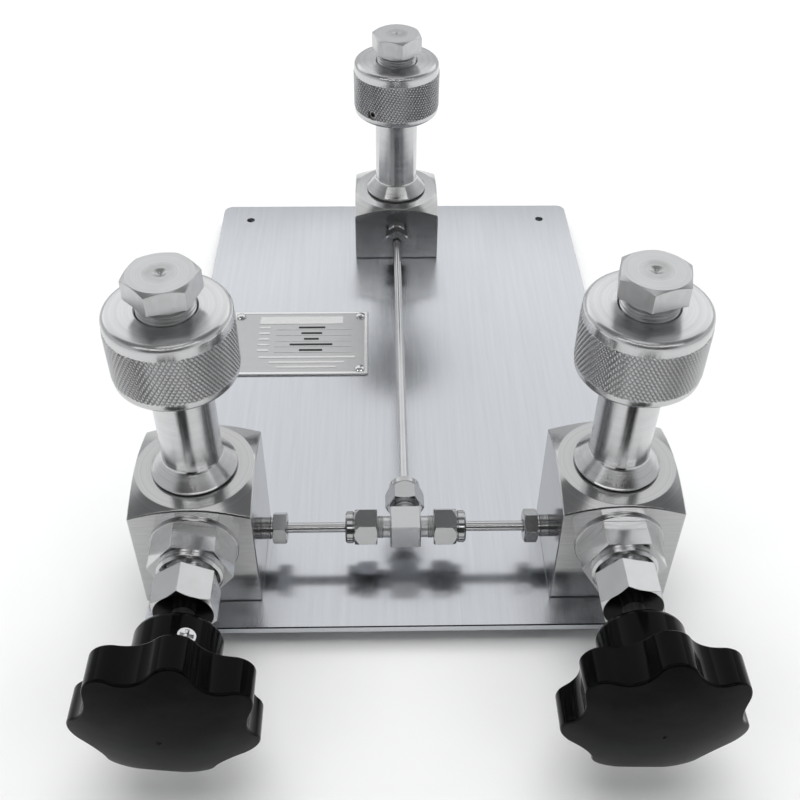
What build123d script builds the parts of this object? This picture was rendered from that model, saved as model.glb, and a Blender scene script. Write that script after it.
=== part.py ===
"""Three-port gauge calibration stand with two needle valves.

Millimetres, +Z up, +Y towards the back of the stand, origin under the middle of the whole stand.
Every sub-part is one block below and one STEP file in parts/.
"""
import os
from math import atan2, cos, pi, radians, sin, sqrt, tan

from build123d import *

os.makedirs("parts", exist_ok=True)

# ---------------------------------------------------------------- driving dimensions
plate_width = 202.0
plate_depth = 300.0
plate_thick = 3.5
plate_corner = 5.0
plate_front = -116.5
foot_height = 6.0
plate_bottom = foot_height
plate_top = plate_bottom + plate_thick

block_side = 45.0
block_half = block_side / 2
block_x = 79.0
front_y = plate_front + 35.5
rear_y = front_y + 233.0
front_block_height = 53.4
rear_block_height = 31.4
crown_radius = 22.0
crown_angle = 25.5
edge_break = 0.4
foot_break = 0.6

valve_z = plate_top + 33.0
line_z = plate_top + 17.0

post_radius = 11.0
post_height = 58.6
flange_radius = 16.0
flange_edge = 1.0
flange_round = 0.35
flare_height = 5.4
flare_round = 2.0
gasket_thick = 0.6
spigot_radius = 7.0
spigot_depth = 11.0
passage_radius = 1.5
groove_low = 50.6
groove_high = 54.2
groove_radius = 9.4
seal_pocket_radius = 6.0
seal_pocket_depth = 1.5
seal_thick = 2.0
seal_hole = 2.5

fit = 0.05
nut_radius = 22.0
nut_low = 46.6
nut_height = 27.5
nut_bore = post_radius + fit
nut_thread = 10.0
nut_mouth = 10.7
nut_rim_round = 2.4
nut_foot_round = 1.8
nut_band_top = 5.2
nut_band_foot = 3.3
knurl_rise = 0.35
nut_screw_radius = 2.5
nut_screw_level = 5.8

plug_thread = 10.0
plug_pitch = 1.5
plug_thread_depth = 0.85
plug_hex = 22.6
plug_hex_height = 8.0
plug_neck = 5.6
plug_nose = 5.2
plug_gap = 0.35

bonnet_hex = 27.2
bonnet_thread = 10.0
washer_radius = 16.6
packing_hex = 21.3
neck_thread = 8.75
stem_thread = 6.0
stem_radius = 4.0
box_radius = 6.5
seat_radius = 4.0
orifice_radius = 1.5
left_opening = 0.5
right_opening = 1.5
left_turn = 0.0
right_turn = 163.1

knob_radius = 31.6
knob_valley = 26.5
knob_lobe = 7.9
knob_lobes = 7
knob_phase = 78.8
knob_screw_angle = 68.5
hub_radius = 15.3
knob_screw_radius = 3.2
bush_radius = 7.0

tube_radius = 2.0
tube_bore = 1.0
fitting_half = 6.0
tee_thread = 4.5
tee_neck = 4.2
tee_neck_end = 8.8
tee_reach = 17.5
tee_hex = 13.7
nut_face = 11.2
nut_end = 23.7
collar_radius = 6.35
collar_length = 3.6
gland_hex = 11.6
gland_thread = 4.5
gland_stub = 4.2
gland_hex_length = 5.4
gland_depth = 8.0
gland_mouth = 2.7

name_width = 70.0
name_depth = 50.0
name_thick = 0.8
name_x = -50.5
name_y = 55.0

mount_hole_radius = 2.25
mount_x = 84.5
mount_y = plate_front + plate_depth - 15.0

parts_made = []


# ---------------------------------------------------------------- shared helpers
def save(piece, name):
    """Label a finished sub-part and write its STEP file."""
    piece.label = name
    parts_made.append(name)
    export_step(piece, "parts/" + name + ".step")


def upright(x, y, z=0.0):
    """Plane whose first axis is radius and second axis is height, for a vertical turned piece."""
    return Plane(origin=(x, y, z), x_dir=(1, 0, 0), z_dir=(0, -1, 0))


def outward(x, y, z):
    """Plane whose first axis runs to the front and second axis is radius, for the valves."""
    return Plane(origin=(x, y, z), x_dir=(0, -1, 0), z_dir=(-1, 0, 0))


def turned(profile, plane, axis, mode=Mode.ADD):
    """Turn a closed outline of points round an axis."""
    with BuildSketch(plane) as face:
        with BuildLine():
            Polyline(*profile, close=True)
        make_face()
    revolve(face.sketch, axis=axis, mode=mode)


def bored(plane, radius, depth, mode=Mode.SUBTRACT):
    """Round bore (or round bar) that starts on a plane and runs along its normal."""
    with BuildSketch(plane) as face:
        Circle(radius)
    extrude(face.sketch, amount=depth, mode=mode)


def hexagon(plane, across, length, turn=0.0):
    """Hexagon bar across the flats, starting on a plane."""
    with BuildSketch(plane) as face:
        RegularPolygon(across / 2, 6, major_radius=False, rotation=turn)
    extrude(face.sketch, amount=length)


def ridges(radius, depth, start, end, pitch):
    """Points along a row of thread ridges, as (distance, radius)."""
    turns = int((end - start) / pitch)
    points = []
    for index in range(turns):
        low = start + index * pitch
        points.append((low, radius - depth))
        points.append((low + 0.40 * pitch, radius))
        points.append((low + 0.60 * pitch, radius))
    points.append((start + turns * pitch, radius - depth))
    return points


def swapped(points):
    """Swap (distance, radius) into (radius, distance)."""
    return [(radius, distance) for distance, radius in points]


def side_plane(x, y, z, sign):
    """Plane facing along +X or -X."""
    return Plane(origin=(x, y, z), x_dir=(0, 1, 0), z_dir=(sign, 0, 0))


def front_plane(x, y, z):
    """Plane facing the front of the stand (-Y)."""
    return Plane(origin=(x, y, z), x_dir=(1, 0, 0), z_dir=(0, -1, 0))


def back_plane(x, y, z):
    """Plane facing the back of the stand (+Y)."""
    return Plane(origin=(x, y, z), x_dir=(-1, 0, 0), z_dir=(0, 1, 0))


def flat_plane(x, y, z):
    """Plane facing up."""
    return Plane(origin=(x, y, z), x_dir=(1, 0, 0), z_dir=(0, 0, 1))


def under_plane(x, y, z):
    """Plane facing down."""
    return Plane(origin=(x, y, z), x_dir=(1, 0, 0), z_dir=(0, 0, -1))


# ---------------------------------------------------------------- shared layout
station_spots = {
    "left": (-block_x, front_y, plate_top + front_block_height),
    "right": (block_x, front_y, plate_top + front_block_height),
    "rear": (0.0, rear_y, plate_top + rear_block_height),
}
block_screw_offset = 14.0
block_screw_spots = []
for spot_x, spot_y, spot_z in station_spots.values():
    block_screw_spots.append((spot_x - block_screw_offset, spot_y + block_screw_offset))
    block_screw_spots.append((spot_x + block_screw_offset, spot_y + block_screw_offset))
foot_x = 88.0
foot_front_y = plate_front + 9.5
foot_rear_y = plate_front + plate_depth - 34.5
foot_spots = []
for spot_x in (-foot_x, foot_x):
    for spot_y in (foot_front_y, foot_rear_y):
        foot_spots.append((spot_x, spot_y))
rivet_inset = 4.2
name_spots = []
for side_x in (-1, 1):
    for side_y in (-1, 1):
        spot_x = name_x + side_x * (name_width / 2 - rivet_inset)
        spot_y = name_y + side_y * (name_depth / 2 - rivet_inset)
        name_spots.append((spot_x, spot_y))
mount_spots = [(-mount_x, mount_y), (mount_x, mount_y)]

block_screw_radius = 3.0
block_screw_head = 5.6
block_screw_cone = 2.6
block_screw_top = plate_top + 11.0
foot_screw_radius = 2.0
foot_screw_head = 3.5
foot_screw_top = plate_bottom + 2.6
rivet_radius = 1.25

# ---------------------------------------------------------------- base plate
with BuildPart() as base_plate:
    with BuildSketch(flat_plane(0, plate_front + plate_depth / 2, plate_bottom)) as outline:
        RectangleRounded(plate_width, plate_depth, plate_corner)
    extrude(outline.sketch, amount=plate_thick)
    chamfer(base_plate.faces().sort_by(Axis.Z)[-1].edges(), length=0.4)
    chamfer(base_plate.faces().sort_by(Axis.Z)[0].edges(), length=0.4)
    for hole_x, hole_y in block_screw_spots:
        turned(
            [
                (0, plate_bottom),
                (block_screw_head, plate_bottom),
                (block_screw_radius, plate_bottom + block_screw_cone),
                (block_screw_radius, plate_top),
                (0, plate_top),
            ],
            upright(hole_x, hole_y),
            Axis((hole_x, hole_y, 0), (0, 0, 1)),
            Mode.SUBTRACT,
        )
    for hole_x, hole_y in foot_spots:
        bored(flat_plane(hole_x, hole_y, plate_bottom), foot_screw_radius, foot_screw_top - plate_bottom)
    for hole_x, hole_y in name_spots:
        bored(flat_plane(hole_x, hole_y, plate_bottom), rivet_radius, plate_thick)
    for hole_x, hole_y in mount_spots:
        bored(flat_plane(hole_x, hole_y, plate_bottom), mount_hole_radius, plate_thick)
save(base_plate.part, "base_plate")

# ---------------------------------------------------------------- feet and their screws
with BuildPart() as rubber_feet:
    for foot_at_x, foot_at_y in foot_spots:
        turned(
            [
                (2.1, 3.0),
                (4.0, 3.0),
                (4.0, 0.0),
                (6.6, 0.0),
                (7.2, 0.6),
                (8.0, foot_height),
                (2.1, foot_height),
            ],
            upright(foot_at_x, foot_at_y),
            Axis((foot_at_x, foot_at_y, 0), (0, 0, 1)),
        )
save(rubber_feet.part, "rubber_feet")

with BuildPart() as foot_screws:
    for foot_at_x, foot_at_y in foot_spots:
        turned(
            [
                (0, 1.6),
                (1.0, 1.6),
                (1.0, 0.8),
                (foot_screw_head - 0.4, 0.8),
                (foot_screw_head, 1.2),
                (foot_screw_head, 3.0),
                (foot_screw_radius, 3.0),
                (foot_screw_radius, foot_screw_top),
                (0, foot_screw_top),
            ],
            upright(foot_at_x, foot_at_y),
            Axis((foot_at_x, foot_at_y, 0), (0, 0, 1)),
        )
save(foot_screws.part, "foot_screws")

# ---------------------------------------------------------------- nameplate with blank fields
with BuildPart() as nameplate:
    with BuildSketch(flat_plane(name_x, name_y, plate_top)) as outline:
        RectangleRounded(name_width, name_depth, 1.5)
    extrude(outline.sketch, amount=name_thick)
    chamfer(nameplate.faces().sort_by(Axis.Z)[-1].edges(), length=0.2)
    for hole_x, hole_y in name_spots:
        bored(flat_plane(hole_x, hole_y, plate_top), rivet_radius, name_thick)
save(nameplate.part, "nameplate")

with BuildPart() as nameplate_rivets:
    for hole_x, hole_y in name_spots:
        turned(
            [
                (0, plate_bottom + 0.3),
                (rivet_radius, plate_bottom + 0.3),
                (rivet_radius, plate_top + name_thick),
                (2.5, plate_top + name_thick),
                (2.5, plate_top + name_thick + 0.35),
                (2.0, plate_top + name_thick + 0.85),
                (1.1, plate_top + name_thick + 1.2),
                (0, plate_top + name_thick + 1.3),
            ],
            upright(hole_x, hole_y),
            Axis((hole_x, hole_y, 0), (0, 0, 1)),
        )
save(nameplate_rivets.part, "nameplate_rivets")


# ---------------------------------------------------------------- the three blocks
def raw_block(block, x, y, top):
    """Square block with a crown turned on its top and a tapped hole for the post spigot."""
    height = top - plate_top
    with BuildSketch(flat_plane(x, y, plate_top)) as outline:
        Rectangle(block_side, block_side)
    extrude(outline.sketch, amount=height)
    chamfer(block.edges().filter_by(Axis.Z), length=edge_break)
    chamfer(block.faces().sort_by(Axis.Z)[0].edges(), length=foot_break)
    reach = block_side
    drop = (reach - crown_radius) * tan(radians(crown_angle))
    turned(
        [(crown_radius, top), (reach, top), (reach, top - drop)],
        upright(x, y),
        Axis((x, y, 0), (0, 0, 1)),
        Mode.SUBTRACT,
    )
    crown_rim = block.faces().filter_by(GeomType.CONE)[0].edges().filter_by(GeomType.HYPERBOLA)
    chamfer(crown_rim, length=edge_break)
    bored(under_plane(x, y, top), spigot_radius, spigot_depth + 1.0)
    for screw_x in (x - block_screw_offset, x + block_screw_offset):
        screw_start = flat_plane(screw_x, y + block_screw_offset, plate_top)
        bored(screw_start, block_screw_radius, block_screw_top - plate_top)


drill_y = 5.0
drill_plug_height = 4.0
thread_hole_end = 11.0
chamber_end = 1.0
chamber_radius = 5.0
seat_end = -3.0


def valve_block(block, x, inner):
    """Front block: valve cavity from the front, line port on the inner side, linking drillings."""
    top = plate_top + front_block_height
    raw_block(block, x, front_y, top)
    axis = Axis((x, front_y, valve_z), (0, 1, 0))
    turned(
        [
            (block_half, 0),
            (block_half, bonnet_thread),
            (thread_hole_end, bonnet_thread),
            (thread_hole_end, chamber_radius),
            (chamber_end, chamber_radius),
            (chamber_end, seat_radius),
            (seat_end, seat_radius),
            (seat_end, tube_radius),
            (-7.5, tube_radius),
            (-7.5, 0),
        ],
        outward(x, front_y, valve_z),
        axis,
        Mode.SUBTRACT,
    )
    bored(under_plane(x, front_y - 4.0, top - spigot_depth), passage_radius, top - spigot_depth - valve_z)
    bored(flat_plane(x, front_y + drill_y, plate_top), tube_radius, valve_z - plate_top)
    face_x = x + inner * block_half
    bored(side_plane(face_x, front_y, line_z, -inner), gland_thread, gland_depth + 0.2)
    bored(side_plane(face_x, front_y, line_z, -inner), 4.0, block_half + 1.0)


with BuildPart() as front_left_block:
    valve_block(front_left_block, -block_x, 1)
save(front_left_block.part, "front_left_block")

with BuildPart() as front_right_block:
    valve_block(front_right_block, block_x, -1)
save(front_right_block.part, "front_right_block")

with BuildPart() as rear_block:
    rear_top = plate_top + rear_block_height
    raw_block(rear_block, 0, rear_y, rear_top)
    bored(under_plane(0, rear_y, rear_top - spigot_depth), tube_radius, rear_top - spigot_depth - line_z)
    bored(back_plane(0, rear_y - block_half, line_z), gland_thread, gland_depth + 0.2)
    bored(back_plane(0, rear_y - block_half, line_z), tube_radius, block_half + tube_radius)
save(rear_block.part, "rear_block")

with BuildPart() as block_screws:
    for screw_x, screw_y in block_screw_spots:
        turned(
            [
                (0, plate_bottom + 1.6),
                (1.7, plate_bottom + 1.6),
                (1.7, plate_bottom + 0.1),
                (block_screw_head - 0.2, plate_bottom + 0.1),
                (block_screw_radius, plate_bottom + block_screw_cone),
                (block_screw_radius, block_screw_top - 0.6),
                (block_screw_radius - 0.6, block_screw_top),
                (0, block_screw_top),
            ],
            upright(screw_x, screw_y),
            Axis((screw_x, screw_y, 0), (0, 0, 1)),
        )
save(block_screws.part, "block_screws")

with BuildPart() as drill_plugs:
    for plug_x in (-block_x, block_x):
        bored(flat_plane(plug_x, front_y + drill_y, plate_top), tube_radius, drill_plug_height, Mode.ADD)
save(drill_plugs.part, "drill_plugs")


# ---------------------------------------------------------------- posts, gaskets, port seals
def post_shape(x, y, base):
    """Turned post: threaded spigot, coned flange, plain shank, swivel groove, seal pocket."""
    low = base + gasket_thick
    top = base + post_height
    flare_low = low + flange_edge
    flare_high = flare_low + flare_height
    flare_wide = flange_radius - flange_round - post_radius
    flare_lean = atan2(flare_wide, flare_height)
    neck_reach = flare_round * tan(flare_lean / 2)
    neck_centre = post_radius + flare_round
    with BuildSketch(upright(x, y)) as half_section:
        with BuildLine():
            Polyline(
                (passage_radius, top - seal_pocket_depth),
                (passage_radius, base - spigot_depth),
                (spigot_radius - 0.7, base - spigot_depth),
                (spigot_radius, base - spigot_depth + 0.7),
                (spigot_radius, low),
                (flange_radius - flange_round, low),
                (flange_radius, low + flange_round),
                (flange_radius, flare_low - flange_round),
                (flange_radius - flange_round, flare_low),
            )
            Line(
                (flange_radius - flange_round, flare_low),
                (post_radius + neck_reach * sin(flare_lean), flare_high - neck_reach * cos(flare_lean)),
            )
            ThreePointArc(
                (post_radius + neck_reach * sin(flare_lean), flare_high - neck_reach * cos(flare_lean)),
                (
                    neck_centre - flare_round * cos(flare_lean / 2),
                    flare_high + neck_reach - flare_round * sin(flare_lean / 2),
                ),
                (post_radius, flare_high + neck_reach),
            )
            Polyline(
                (post_radius, flare_high + neck_reach),
                (post_radius, base + groove_low),
                (groove_radius, base + groove_low),
                (groove_radius, base + groove_high),
                (post_radius, base + groove_high),
                (post_radius, top - 0.6),
                (post_radius - 0.6, top),
                (seal_pocket_radius, top),
                (seal_pocket_radius, top - seal_pocket_depth),
                (passage_radius, top - seal_pocket_depth),
            )
        make_face()
    revolve(half_section.sketch, axis=Axis((x, y, 0), (0, 0, 1)))


for station, (post_x, post_y, post_base) in station_spots.items():
    with BuildPart() as post:
        post_shape(post_x, post_y, post_base)
    save(post.part, station + "_post")

with BuildPart() as post_gaskets:
    for post_x, post_y, post_base in station_spots.values():
        turned(
            [
                (spigot_radius, post_base),
                (flange_radius - 1.2, post_base),
                (flange_radius - 1.2, post_base + gasket_thick),
                (spigot_radius, post_base + gasket_thick),
            ],
            upright(post_x, post_y),
            Axis((post_x, post_y, 0), (0, 0, 1)),
        )
save(post_gaskets.part, "post_gaskets")

with BuildPart() as port_seals:
    for post_x, post_y, post_base in station_spots.values():
        seal_low = post_base + post_height - seal_pocket_depth
        turned(
            [
                (seal_hole, seal_low),
                (seal_pocket_radius, seal_low),
                (seal_pocket_radius, seal_low + seal_thick),
                (seal_hole, seal_low + seal_thick),
            ],
            upright(post_x, post_y),
            Axis((post_x, post_y, 0), (0, 0, 1)),
        )
save(port_seals.part, "port_seals")


# ---------------------------------------------------------------- swivel hand nuts
nut_screw_turns = {"left": 160.0, "right": 140.0, "rear": 234.0}
nut_screw_sides = (0.0, -120.0)


def nut_shape(nut, x, y, base, turn):
    """Hand nut: bored to swivel on the post, threaded at the top, two cross holes for its screws."""
    low = base + nut_low
    high = low + nut_height
    shelf = base + post_height + 0.5
    band_radius = nut_radius - knurl_rise
    turned(
        [
            (nut_bore, low),
            (band_radius, low),
            (band_radius, low + nut_band_foot),
            (nut_radius, low + nut_band_foot + knurl_rise),
            (nut_radius, high - nut_band_top - knurl_rise),
            (band_radius, high - nut_band_top),
            (band_radius, high),
            (nut_mouth, high),
            (nut_thread + fit, high - 0.7),
            (nut_thread + fit, shelf),
            (nut_bore, shelf),
        ],
        upright(x, y),
        Axis((x, y, 0), (0, 0, 1)),
    )
    rims = nut.edges().filter_by(GeomType.CIRCLE)
    top_rim = rims.filter_by_position(Axis.Z, high - 0.01, high + 0.01).sort_by(SortBy.RADIUS)[-1]
    fillet(top_rim, nut_rim_round)
    foot_rim = rims.filter_by_position(Axis.Z, low - 0.01, low + 0.01).sort_by(SortBy.RADIUS)[-1]
    fillet(foot_rim, nut_foot_round)
    for side in nut_screw_sides:
        angle = radians(turn + side)
        start = Plane(
            origin=(x, y, low + nut_screw_level),
            x_dir=(0, 0, 1),
            z_dir=(cos(angle), sin(angle), 0),
        )
        bored(start, nut_screw_radius, nut_radius + 1.0)


def nut_screw_shape(x, y, base, turn):
    """Socket set screw with a dog point that rides in the post groove."""
    low = base + nut_low
    for side in nut_screw_sides:
        angle = radians(turn + side)
        outer = nut_radius - 1.2
        head = Plane(
            origin=(x + outer * cos(angle), y + outer * sin(angle), low + nut_screw_level),
            x_dir=(0, 0, 1),
            z_dir=(-cos(angle), -sin(angle), 0),
        )
        bored(head, nut_screw_radius, outer - nut_bore - 0.6, Mode.ADD)
        bored(head, 1.5, outer - groove_radius - 0.5, Mode.ADD)
        with BuildSketch(head) as socket:
            RegularPolygon(1.25, 6, major_radius=False)
        extrude(socket.sketch, amount=2.0, mode=Mode.SUBTRACT)


for station, (nut_x, nut_y, nut_base) in station_spots.items():
    with BuildPart() as hand_nut:
        nut_shape(hand_nut, nut_x, nut_y, nut_base, nut_screw_turns[station])
    save(hand_nut.part, station + "_nut")
    with BuildPart() as nut_screws:
        nut_screw_shape(nut_x, nut_y, nut_base, nut_screw_turns[station])
    save(nut_screws.part, station + "_nut_screws")

# ---------------------------------------------------------------- hexagon plugs
plug_turns = {"left": 14.6, "right": 17.6, "rear": 42.0}


def plug_shape(x, y, base, turn):
    """Blanking plug: nose, threaded shank, undercut neck, hexagon head with a centre dimple."""
    nose = base + post_height - seal_pocket_depth + seal_thick + plug_gap
    head = base + nut_low + nut_height + plug_neck
    top = head + plug_hex_height
    shank = swapped(ridges(plug_thread, plug_thread_depth, nose + 1.6, head - 1.6, plug_pitch))
    turned(
        [(0, nose), (plug_nose, nose), (plug_nose, nose + 1.6)]
        + shank
        + [(plug_thread - 1.1, head), (0, head)],
        upright(x, y),
        Axis((x, y, 0), (0, 0, 1)),
    )
    hexagon(flat_plane(x, y, head), plug_hex, plug_hex_height, turn)
    round_off = plug_hex / 2 - 0.3
    corner = plug_hex / 2 + 3.0
    fall = (corner - round_off) * tan(radians(28.0))
    turned(
        [(round_off, top), (corner, top), (corner, top - fall)],
        upright(x, y),
        Axis((x, y, 0), (0, 0, 1)),
        Mode.SUBTRACT,
    )
    turned(
        [(0, top), (2.4, top), (1.1, top - 0.5), (0, top - 1.2)],
        upright(x, y),
        Axis((x, y, 0), (0, 0, 1)),
        Mode.SUBTRACT,
    )


for station, (plug_x, plug_y, plug_base) in station_spots.items():
    with BuildPart() as hex_plug:
        plug_shape(plug_x, plug_y, plug_base, plug_turns[station])
    save(hex_plug.part, station + "_plug")

# ---------------------------------------------------------------- needle valve bodies
valve_spots = {"left": (-block_x, left_opening), "right": (block_x, right_opening)}
washer_thick = 1.2
bonnet_back = block_half + washer_thick
bonnet_front = 34.5
boss_radius = 12.2
boss_front = 36.8
neck_front = 45.5
stop_back = 30.0
box_back = 33.0
packing_end = 40.0
follower_end = 47.5
packing_back = 39.0
packing_front = 52.5
hex_chamfer = radians(30.0)
bonnet_turns = {"left": -9.7, "right": 0.0}
packing_turns = {"left": 94.8, "right": 106.0}


def shaved_corners(x, across, start, end, chamfer_back, chamfer_front):
    """Turn the corners off the ends of a hexagon bar."""
    flat = across / 2
    corner = across / sqrt(3) + 1.0
    fall = (corner - flat) * tan(hex_chamfer)
    axis = Axis((x, front_y, valve_z), (0, 1, 0))
    plane = outward(x, front_y, valve_z)
    if chamfer_front:
        turned([(end, flat), (end, corner), (end - fall, corner)], plane, axis, Mode.SUBTRACT)
    if chamfer_back:
        turned([(start, flat), (start, corner), (start + fall, corner)], plane, axis, Mode.SUBTRACT)


for side, (valve_x, opening) in valve_spots.items():
    valve_plane = outward(valve_x, front_y, valve_z)
    valve_axis = Axis((valve_x, front_y, valve_z), (0, 1, 0))
    with BuildPart() as bonnet:
        hexagon(
            front_plane(valve_x, front_y - bonnet_back, valve_z),
            bonnet_hex,
            bonnet_front - bonnet_back,
            bonnet_turns[side],
        )
        turned(
            [
                (thread_hole_end + 0.5, 0),
                (thread_hole_end + 0.5, bonnet_thread),
                (bonnet_back, bonnet_thread),
                (bonnet_back, 0),
            ],
            valve_plane,
            valve_axis,
        )
        turned(
            [
                (bonnet_front, 0),
                (bonnet_front, boss_radius),
                (boss_front - 0.9, boss_radius),
                (boss_front, boss_radius - 0.9),
                (boss_front, neck_thread),
                (neck_front, neck_thread),
                (neck_front, 0),
            ],
            valve_plane,
            valve_axis,
        )
        turned(
            [
                (thread_hole_end, 0),
                (thread_hole_end, stem_thread + fit),
                (stop_back, stem_thread + fit),
                (stop_back, stem_radius + fit),
                (box_back, stem_radius + fit),
                (box_back, box_radius),
                (neck_front, box_radius),
                (neck_front, 0),
            ],
            valve_plane,
            valve_axis,
            Mode.SUBTRACT,
        )
    save(bonnet.part, side + "_bonnet")

with BuildPart() as bonnet_washers:
    for valve_x, opening in valve_spots.values():
        turned(
            [
                (block_half, bonnet_thread),
                (block_half, washer_radius),
                (bonnet_back - 0.3, washer_radius),
                (bonnet_back, washer_radius - 0.3),
                (bonnet_back, bonnet_thread),
            ],
            outward(valve_x, front_y, valve_z),
            Axis((valve_x, front_y, valve_z), (0, 1, 0)),
        )
save(bonnet_washers.part, "bonnet_washers")

for side, (valve_x, opening) in valve_spots.items():
    with BuildPart() as packing_nut:
        hexagon(
            front_plane(valve_x, front_y - packing_back, valve_z),
            packing_hex,
            packing_front - packing_back,
            packing_turns[side],
        )
        shaved_corners(valve_x, packing_hex, packing_back, packing_front, False, True)
        turned(
            [
                (packing_back, 0),
                (packing_back, neck_thread),
                (follower_end, neck_thread),
                (follower_end, stem_radius + fit),
                (packing_front, stem_radius + fit),
                (packing_front, 0),
            ],
            outward(valve_x, front_y, valve_z),
            Axis((valve_x, front_y, valve_z), (0, 1, 0)),
            Mode.SUBTRACT,
        )
    save(packing_nut.part, side + "_packing_nut")

with BuildPart() as packing_rings:
    for valve_x, opening in valve_spots.values():
        turned(
            [
                (box_back, stem_radius + fit),
                (box_back, box_radius),
                (packing_end, box_radius),
                (packing_end, stem_radius + fit),
            ],
            outward(valve_x, front_y, valve_z),
            Axis((valve_x, front_y, valve_z), (0, 1, 0)),
        )
save(packing_rings.part, "packing_rings")

with BuildPart() as packing_followers:
    for valve_x, opening in valve_spots.values():
        turned(
            [
                (packing_end, stem_radius + fit),
                (packing_end, box_radius),
                (follower_end, box_radius),
                (follower_end, stem_radius + fit),
            ],
            outward(valve_x, front_y, valve_z),
            Axis((valve_x, front_y, valve_z), (0, 1, 0)),
        )
save(packing_followers.part, "packing_followers")

with BuildPart() as valve_seats:
    for valve_x, opening in valve_spots.values():
        turned(
            [
                (seat_end, orifice_radius),
                (seat_end, seat_radius),
                (chamber_end, seat_radius),
                (chamber_end, orifice_radius + 0.6),
                (chamber_end - 1.04, orifice_radius),
            ],
            outward(valve_x, front_y, valve_z),
            Axis((valve_x, front_y, valve_z), (0, 1, 0)),
        )
save(valve_seats.part, "valve_seats")

# ---------------------------------------------------------------- needles, stems and knobs
needle_body = 3.2
needle_head = 3.5
needle_neck = 2.2
cone_half_angle = radians(30.0)
socket_mouth = 13.0
socket_shelf = 16.7
socket_end = 20.4
stem_inner = 13.0
stem_outer = 27.0
stem_tip = 76.0
hub_back = 61.0
disc_back = 81.5
dome_front = 101.0
dome_drop = 6.7
knob_edge_round = 0.9
bush_back = 61.6
bush_front = 80.0
screw_level = 70.5
knob_screw_turn = {"left": left_turn, "right": right_turn}


def star_outline(centre_turn):
    """Seven lobes joined by valleys, as tangent arcs."""
    lobe_centre = knob_radius - knob_lobe
    half_step = pi / knob_lobes
    lobe_x = lobe_centre * cos(half_step)
    lobe_y = lobe_centre * sin(half_step)
    gap = knob_valley - lobe_x
    valley = (gap * gap + lobe_y * lobe_y - knob_lobe * knob_lobe) / (2 * (knob_lobe - gap))
    valley_centre = knob_valley + valley
    share = knob_lobe / (knob_lobe + valley)
    touch_x = lobe_x + (valley_centre - lobe_x) * share
    touch_y = lobe_y * (1 - share)
    touch_radius = sqrt(touch_x * touch_x + touch_y * touch_y)
    touch_angle = half_step - abs(touch_y) / touch_x
    for index in range(knob_lobes):
        middle = radians(centre_turn) + 2 * half_step * index
        before = middle - touch_angle
        after = middle + touch_angle
        following = middle + 2 * half_step - touch_angle
        bottom = middle + half_step
        ThreePointArc(
            (touch_radius * cos(before), touch_radius * sin(before)),
            (knob_radius * cos(middle), knob_radius * sin(middle)),
            (touch_radius * cos(after), touch_radius * sin(after)),
        )
        ThreePointArc(
            (touch_radius * cos(after), touch_radius * sin(after)),
            (knob_valley * cos(bottom), knob_valley * sin(bottom)),
            (touch_radius * cos(following), touch_radius * sin(following)),
        )


def dome_outline():
    """Half section that keeps the knob under a shallow ball-shaped front."""
    reach = knob_radius + 2.0
    ball = (knob_radius**2 + dome_drop**2) / (2 * dome_drop)
    centre = dome_front - ball
    ThreePointArc(
        (dome_front, 0),
        (centre + sqrt(ball**2 - (reach / 2) ** 2), reach / 2),
        (centre + sqrt(ball**2 - reach**2), reach),
    )
    Polyline(
        (centre + sqrt(ball**2 - reach**2), reach),
        (disc_back - 1.0, reach),
        (disc_back - 1.0, 0),
        (dome_front, 0),
    )


def screw_plane(x, opening, side, distance):
    """Plane on the knob hub, facing in along the knob set screw."""
    angle = radians(knob_screw_angle + knob_screw_turn[side])
    return Plane(
        origin=(
            x + distance * cos(angle),
            front_y - screw_level - opening,
            valve_z + distance * sin(angle),
        ),
        x_dir=(0, 1, 0),
        z_dir=(-cos(angle), 0, -sin(angle)),
    )


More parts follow.
